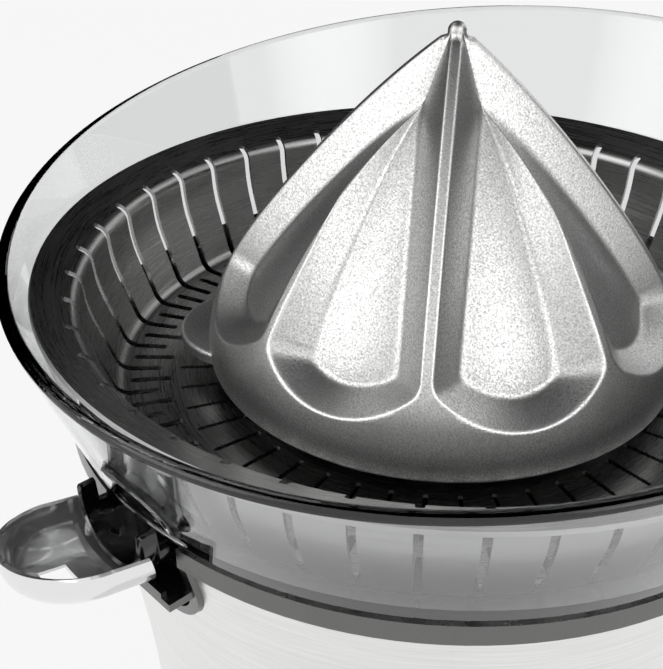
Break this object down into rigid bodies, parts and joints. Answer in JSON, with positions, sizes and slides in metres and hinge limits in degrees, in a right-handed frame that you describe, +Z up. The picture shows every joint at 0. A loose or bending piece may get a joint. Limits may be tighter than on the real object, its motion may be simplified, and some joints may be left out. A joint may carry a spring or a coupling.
{
  "type": "electric citrus press",
  "caption": "Electric citrus press: fluted cast cone in a slotted steel sieve and clear bowl with a tilting spout, on a steel drum housing with a press-to-run drive.",
  "frame": {"origin": "middle of the object's width and length, at table level under the feet", "axes": "+Z up along the spindle, -Y towards the spout, +X to the right when the spout faces the viewer"},
  "size_m": [0.1558, 0.1696, 0.2078],
  "materials": {
    "cast_aluminium": "sandblasted casting",
    "sieve_steel": "circular brushed",
    "drum_steel": "circular brushed",
    "clear_plastic": "clear moulded plastic",
    "black_plastic": "black moulded plastic",
    "chrome_plate": "polished plating",
    "satin_grey": "satin grey",
    "rubber_black": "matt",
    "base_plastic": "textured black",
    "steel": "plain turned steel",
    "bronze": "sintered bronze",
    "gear_plastic": "natural acetal",
    "plated_sheet": "zinc-plated sheet",
    "laminations": "stacked electrical sheet",
    "winding": "enamelled copper wire"
  },
  "bodies": {
    "base": {"base_plate": "base_plastic", "rubber_feet": "rubber_black", "tie_rods": "steel", "housing_sleeve": "drum_steel", "top_ring": "satin_grey", "deck": "black_plastic", "gear_plate": "plated_sheet", "deck_screws": "steel", "motor_screws": "steel", "motor_can": "plated_sheet", "motor_cap": "base_plastic", "motor_lower_bush": "bronze", "motor_upper_bush": "bronze", "stator_core": "laminations", "stator_coils": "winding", "idler_axle": "steel", "lower_bush": "bronze", "upper_bush": "bronze", "shaft_seal": "rubber_black", "thrust_washer": "gear_plastic", "guide_pins": "steel", "return_springs": "steel", "switch_body": "base_plastic", "terminal_block": "gear_plastic", "cord_gland": "base_plastic", "gland_nut": "base_plastic"},
    "carriage": {"thrust_plate": "plated_sheet"},
    "spindle": {"spindle": "steel", "output_gear": "gear_plastic"},
    "cone": {"reamer_cone": "cast_aluminium", "drive_insert": "gear_plastic"},
    "idler": {"compound_gear": "gear_plastic"},
    "rotor": {"rotor_shaft": "steel", "rotor_core": "laminations", "motor_pinion": "bronze"},
    "plunger": {"switch_plunger": "gear_plastic"},
    "bowl": {"juice_bowl": "clear_plastic", "spout_neck": "black_plastic"},
    "sieve": {"sieve_basket": "sieve_steel"},
    "spout": {"spout_shell": "chrome_plate", "spout_pin": "steel"}
  },
  "joints": [
    {"name": "press", "type": "slide", "parent": "base", "child": "carriage", "axis": [0, 0, -1], "range_m": [0, 0.003], "stiffness_N_per_m": 1500, "springref_m": -0.006, "deforming": ["return_springs"]},
    {"name": "spin", "type": "hinge", "parent": "carriage", "child": "spindle", "pos_m": [0, 0.0032, 0.107], "axis": [0, 0, 1], "continuous": true},
    {"name": "cone_lift", "type": "slide", "parent": "spindle", "child": "cone", "axis": [0, 0, 1], "range_m": [0, 0.12]},
    {"name": "idler_spin", "type": "hinge", "parent": "base", "child": "idler", "pos_m": [0, 0.0272, 0.1], "axis": [0, 0, 1], "continuous": true},
    {"name": "rotor_spin", "type": "hinge", "parent": "base", "child": "rotor", "pos_m": [0, 0.0032, 0.06], "axis": [0, 0, 1], "continuous": true},
    {"name": "plunger_slide", "type": "slide", "parent": "base", "child": "plunger", "axis": [0, 0, -1], "range_m": [0, 0.003]},
    {"name": "bowl_lift", "type": "slide", "parent": "base", "child": "bowl", "axis": [0, 0, 1], "range_m": [0, 0.042]},
    {"name": "sieve_lift", "type": "slide", "parent": "bowl", "child": "sieve", "axis": [0, 0, 1], "range_m": [0, 0.03]},
    {"name": "spout_tilt", "type": "hinge", "parent": "bowl", "child": "spout", "pos_m": [0, -0.0665, 0.1427], "axis": [1, 0, 0], "range_deg": [0, 15]}
  ],
  "couplings": [
    {"joint": "idler_spin", "follows": "spin", "ratio": -4},
    {"joint": "rotor_spin", "follows": "spin", "ratio": 16},
    {"joint": "plunger_slide", "follows": "press", "ratio": 1},
    {"joint": "bowl_lift", "follows": "cone_lift", "ratio": 0.35},
    {"joint": "sieve_lift", "follows": "cone_lift", "ratio": 0.25}
  ]
}
